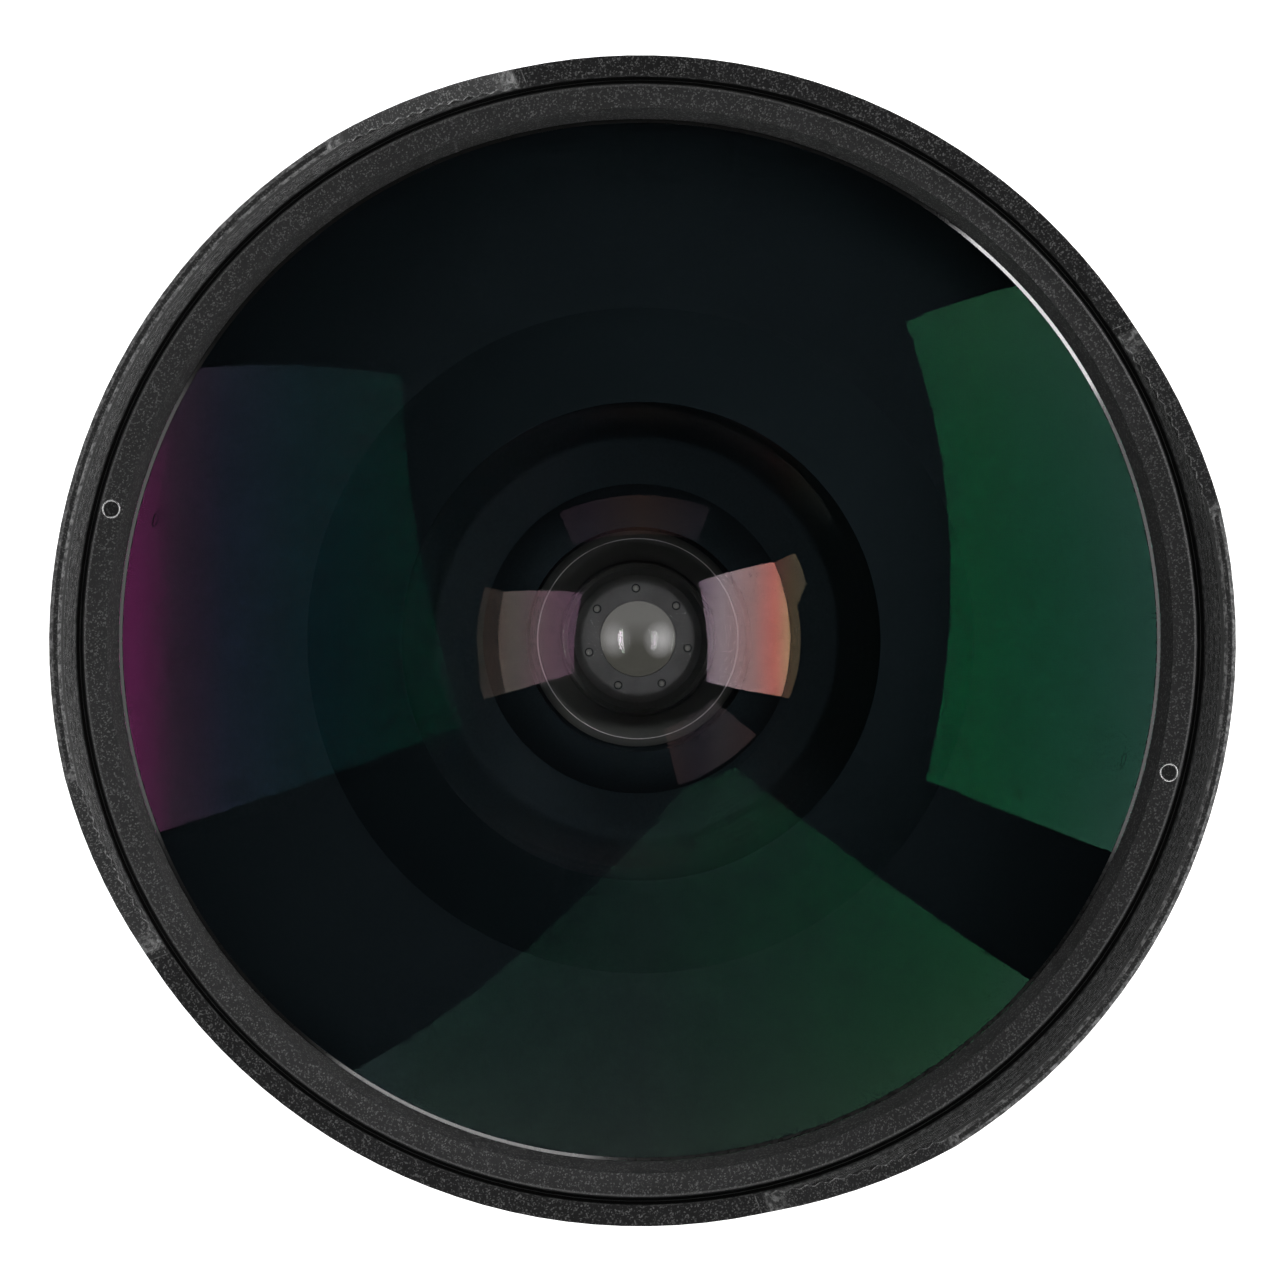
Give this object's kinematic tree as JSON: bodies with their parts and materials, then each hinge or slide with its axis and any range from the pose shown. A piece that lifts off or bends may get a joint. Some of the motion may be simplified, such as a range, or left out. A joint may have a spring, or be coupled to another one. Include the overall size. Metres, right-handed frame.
{
  "type": "fisheye lens",
  "caption": "Manual fisheye camera lens with a domed front glass in a two-petal hood, ribbed focus and aperture rings, an iris and a bayonet mount.",
  "frame": {"origin": "centre of the mount flange's seat", "axes": "+Z along the optical axis, out of the front glass; +Y through one tall petal"},
  "size_m": [0.076, 0.076, 0.0871],
  "materials": {
    "anodised_barrel": "satin black anodised",
    "hood_black": "bead-blasted black anodised",
    "grip_black": "satin black anodised, ribbed",
    "inner_black": "matt black",
    "mount_chrome": "brushed plating",
    "screw_steel": "plain",
    "screw_black": "blackened",
    "blade_steel": "blackened",
    "helicoid_brass": "greased",
    "baffle_plastic": "flocked matt",
    "index_red": "gloss bead",
    "seal_rubber": "matt",
    "front_glass": "coated, polished",
    "inner_glass": "coated, polished"
  },
  "bodies": {
    "fixed_barrel": {"mount_plate": "mount_chrome", "mount_screws": "screw_steel", "rear_baffle": "baffle_plastic", "rear_barrel": "anodised_barrel", "mount_index_dot": "index_red", "guide_keys": "helicoid_brass", "focus_retainer": "anodised_barrel", "focus_stop_pin": "screw_steel"},
    "focus_unit": {"focus_ring": "grip_black", "helicoid_ring": "helicoid_brass", "focus_set_screws": "screw_steel"},
    "optical_unit": {"helicoid_sleeve": "anodised_barrel", "front_cell": "anodised_barrel", "cell_set_screws": "screw_steel", "petal_hood": "hood_black", "hood_set_screws": "screw_black", "front_retaining_ring": "hood_black", "front_seal": "seal_rubber", "front_element": "front_glass", "second_element": "inner_glass", "second_retaining_ring": "inner_black", "middle_cell": "inner_black", "middle_cell_screws": "screw_steel", "doublet_front": "inner_glass", "doublet_rear": "inner_glass", "doublet_retaining_ring": "inner_black", "iris_housing": "inner_black", "iris_rear_cover": "inner_black", "rear_cell": "inner_black", "fifth_element": "inner_glass", "sixth_element": "inner_glass", "seventh_element": "inner_glass", "eighth_element": "inner_glass", "ninth_element": "inner_glass", "last_element": "inner_glass", "rear_spacer": "inner_black", "last_spacer": "inner_black", "rear_retaining_ring": "inner_black", "aperture_retainer": "anodised_barrel", "click_ball": "screw_steel", "click_spring": "screw_steel"},
    "aperture_unit": {"aperture_ring": "grip_black", "aperture_drive_pin": "screw_steel", "aperture_fork": "helicoid_brass", "iris_cam_ring": "blade_steel"},
    "blade_1": {"iris_blade_1": "blade_steel"},
    "blade_2": {"iris_blade_2": "blade_steel"},
    "blade_3": {"iris_blade_3": "blade_steel"},
    "blade_4": {"iris_blade_4": "blade_steel"},
    "blade_5": {"iris_blade_5": "blade_steel"},
    "blade_6": {"iris_blade_6": "blade_steel"},
    "blade_7": {"iris_blade_7": "blade_steel"}
  },
  "joints": [
    {"name": "focus_turn", "type": "hinge", "parent": "fixed_barrel", "child": "focus_unit", "pos_m": [0, 0, 0.03], "axis": [0, 0, 1], "range_deg": [0, 120]},
    {"name": "focus_slide", "type": "slide", "parent": "fixed_barrel", "child": "optical_unit", "axis": [0, 0, 1], "range_m": [0, 0.0012]},
    {"name": "aperture_turn", "type": "hinge", "parent": "optical_unit", "child": "aperture_unit", "pos_m": [0, 0, 0.045], "axis": [0, 0, 1], "range_deg": [0, 60]},
    {"name": "blade_1_swing", "type": "hinge", "parent": "optical_unit", "child": "blade_1", "pos_m": [0.00726, 0.00337, 0.0388], "axis": [0, 0, 1], "range_deg": [0, 37]},
    {"name": "blade_2_swing", "type": "hinge", "parent": "optical_unit", "child": "blade_2", "pos_m": [0.00189, 0.00777, 0.0388], "axis": [0, 0, 1], "range_deg": [0, 37]},
    {"name": "blade_3_swing", "type": "hinge", "parent": "optical_unit", "child": "blade_3", "pos_m": [-0.0049, 0.00632, 0.0388], "axis": [0, 0, 1], "range_deg": [0, 37]},
    {"name": "blade_4_swing", "type": "hinge", "parent": "optical_unit", "child": "blade_4", "pos_m": [-0.008, 0.00011, 0.0388], "axis": [0, 0, 1], "range_deg": [0, 37]},
    {"name": "blade_5_swing", "type": "hinge", "parent": "optical_unit", "child": "blade_5", "pos_m": [-0.00508, -0.00618, 0.0388], "axis": [0, 0, 1], "range_deg": [0, 37]},
    {"name": "blade_6_swing", "type": "hinge", "parent": "optical_unit", "child": "blade_6", "pos_m": [0.00167, -0.00782, 0.0388], "axis": [0, 0, 1], "range_deg": [0, 37]},
    {"name": "blade_7_swing", "type": "hinge", "parent": "optical_unit", "child": "blade_7", "pos_m": [0.00716, -0.00357, 0.0388], "axis": [0, 0, 1], "range_deg": [0, 37]}
  ],
  "couplings": [
    {"joint": "focus_slide", "follows": "focus_turn", "m_per_rad": 0.00057296},
    {"joint": "blade_1_swing", "follows": "aperture_turn", "ratio": 0.61667},
    {"joint": "blade_2_swing", "follows": "aperture_turn", "ratio": 0.61667},
    {"joint": "blade_3_swing", "follows": "aperture_turn", "ratio": 0.61667},
    {"joint": "blade_4_swing", "follows": "aperture_turn", "ratio": 0.61667},
    {"joint": "blade_5_swing", "follows": "aperture_turn", "ratio": 0.61667},
    {"joint": "blade_6_swing", "follows": "aperture_turn", "ratio": 0.61667},
    {"joint": "blade_7_swing", "follows": "aperture_turn", "ratio": 0.61667}
  ]
}
